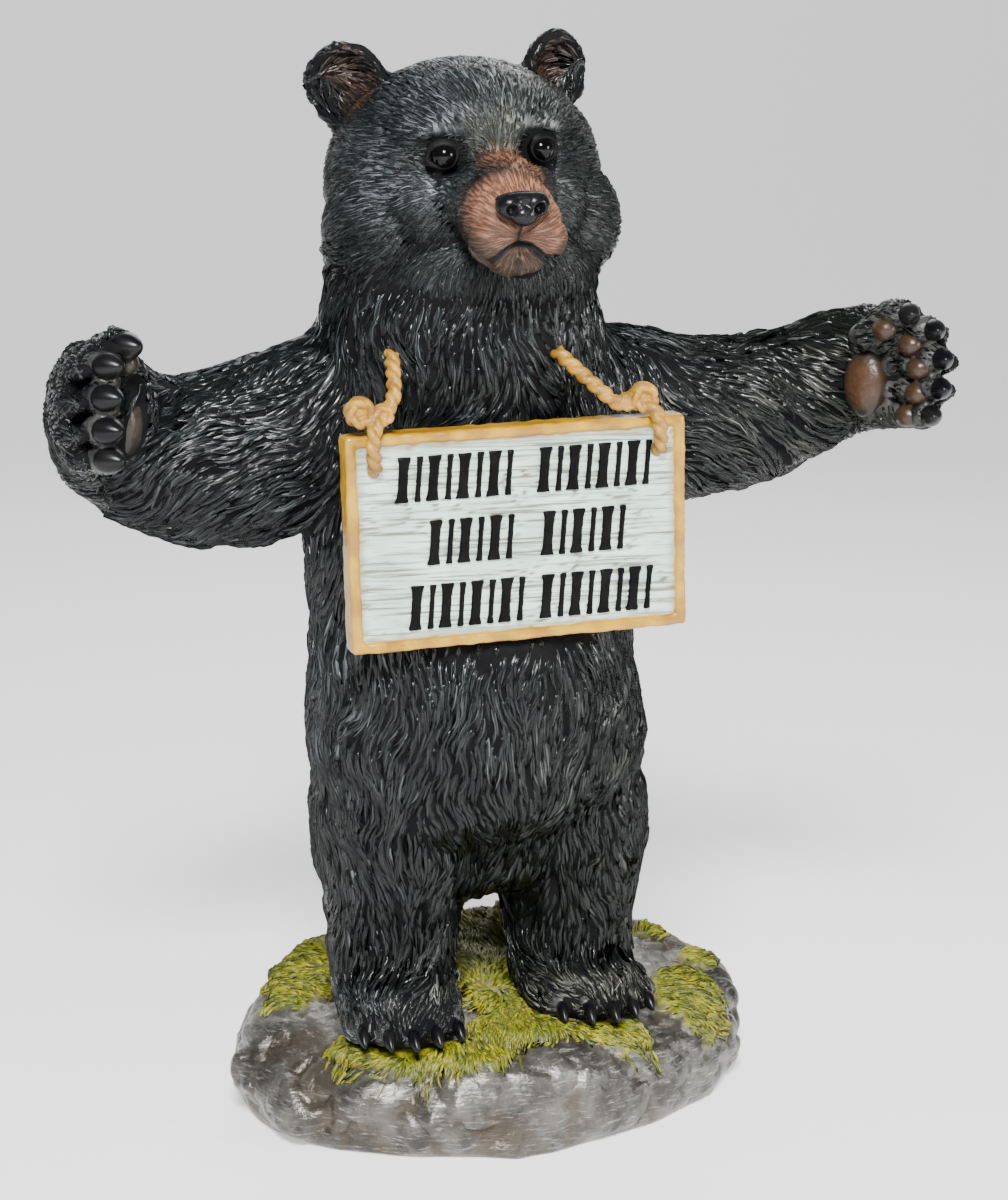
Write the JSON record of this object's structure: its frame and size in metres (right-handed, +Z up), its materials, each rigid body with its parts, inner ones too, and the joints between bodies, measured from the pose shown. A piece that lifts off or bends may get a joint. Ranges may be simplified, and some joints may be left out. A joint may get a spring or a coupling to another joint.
{
  "type": "bear figurine",
  "caption": "Standing bear figurine with outstretched arms on a mossy rock base, with a small framed sign on its chest, to stand on a shelf or table.",
  "frame": {"origin": "centre of the rock base's flat underside", "axes": "+Z up from the surface the figurine stands on; -Y the way the bear faces; +X to the right of someone who looks at its face"},
  "size_m": [0.2034, 0.1236, 0.249],
  "materials": {
    "black fur": "glossy painted resin, grey drybrushed on the raised fur",
    "grey rock": "satin painted resin, silver-grey with brown washes and green moss",
    "pale board": "matte painted resin, pale mint board in a honey-coloured frame",
    "ochre rope": "matte painted resin, ochre with small grey spots"
  },
  "bodies": {
    "root": {"bear": "black fur", "rock_base": "grey rock", "sign": "pale board", "rope_left": "ochre rope", "rope_right": "ochre rope"}
  },
  "joints": []
}
